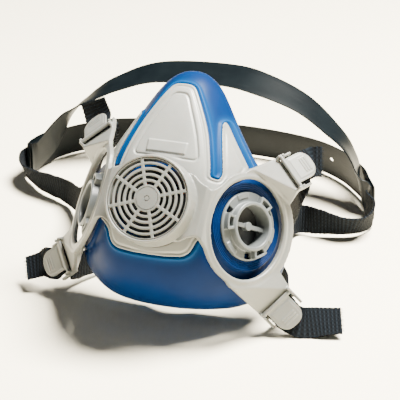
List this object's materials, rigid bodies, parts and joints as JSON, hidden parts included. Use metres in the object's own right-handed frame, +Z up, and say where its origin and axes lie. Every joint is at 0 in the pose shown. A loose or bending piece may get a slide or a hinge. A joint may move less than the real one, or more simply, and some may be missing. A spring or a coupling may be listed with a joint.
{
  "type": "half mask respirator",
  "caption": "Half mask respirator: soft blue facepiece, grey shell and yoke, covered exhalation valve, bayonet filter inlets, cam buckles and a strap head harness",
  "frame": {"origin": "middle of the bounding box at the level the respirator lies on", "axes": "+Z up; the mask looks towards -Y with its nose up and to the +X side of the middle; the head harness lies behind it, towards +Y; left and right are as seen from the front, right being +X"},
  "size_m": [0.2876, 0.3142, 0.1449],
  "materials": {
    "silicone_blue": "satin",
    "shell_grey": "satin",
    "yoke_grey": "satin",
    "connector_grey": "satin",
    "valve_rubber": "matte",
    "webbing_black": "woven, matte",
    "band_black": "satin"
  },
  "bodies": {
    "respirator": {"facepiece": "silicone_blue", "nose_shell": "shell_grey", "exhalation_valve_seat": "shell_grey", "exhalation_cover": "yoke_grey", "inlet_connector_right": "connector_grey", "inlet_connector_left": "connector_grey", "yoke": "yoke_grey", "neck_clasp_loop": "yoke_grey", "neck_clasp_hook": "yoke_grey", "upper_right_strap": "webbing_black", "lower_right_strap": "webbing_black", "upper_left_strap": "webbing_black", "lower_left_strap": "webbing_black", "rear_band": "band_black", "crown_band": "band_black"},
    "lever_upper_right": {"buckle_lever_upper_right": "yoke_grey"},
    "lever_upper_left": {"buckle_lever_upper_left": "yoke_grey"},
    "lever_lower_right": {"buckle_lever_lower_right": "yoke_grey"},
    "lever_lower_left": {"buckle_lever_lower_left": "yoke_grey"},
    "exhalation_flap": {"exhalation_valve_flap": "valve_rubber"},
    "inhalation_flap_right": {"inhalation_valve_flap_right": "valve_rubber"},
    "inhalation_flap_left": {"inhalation_valve_flap_left": "valve_rubber"}
  },
  "joints": [
    {"name": "lever_upper_right", "type": "hinge", "parent": "respirator", "child": "lever_upper_right", "pos_m": [0.10297, -0.07716, 0.09457], "axis": [0.6816, -0.267, -0.6813], "range_deg": [0, 75]},
    {"name": "lever_upper_left", "type": "hinge", "parent": "respirator", "child": "lever_upper_left", "pos_m": [-0.02515, -0.07259, 0.10175], "axis": [0.7706, 0.2152, 0.5999], "range_deg": [0, 75]},
    {"name": "lever_lower_right", "type": "hinge", "parent": "respirator", "child": "lever_lower_right", "pos_m": [0.10415, -0.1071, 0.02094], "axis": [-0.61, -0.4648, -0.6418], "range_deg": [0, 75]},
    {"name": "lever_lower_left", "type": "hinge", "parent": "respirator", "child": "lever_lower_left", "pos_m": [-0.03665, -0.10207, 0.02883], "axis": [-0.5001, 0.5044, 0.704], "range_deg": [0, 75]},
    {"name": "exhalation_flap", "type": "slide", "parent": "respirator", "child": "exhalation_flap", "axis": [0, -0.8434, 0.5373], "range_m": [0, 0.0015], "stiffness_N_per_m": 40, "springref_m": -0.0005},
    {"name": "inhalation_flap_right", "type": "slide", "parent": "respirator", "child": "inhalation_flap_right", "axis": [-0.8434, 0.4261, -0.3273], "range_m": [0, 0.002], "stiffness_N_per_m": 40, "springref_m": -0.0005},
    {"name": "inhalation_flap_left", "type": "slide", "parent": "respirator", "child": "inhalation_flap_left", "axis": [0.8434, 0.4261, -0.3273], "range_m": [0, 0.002], "stiffness_N_per_m": 40, "springref_m": -0.0005}
  ]
}
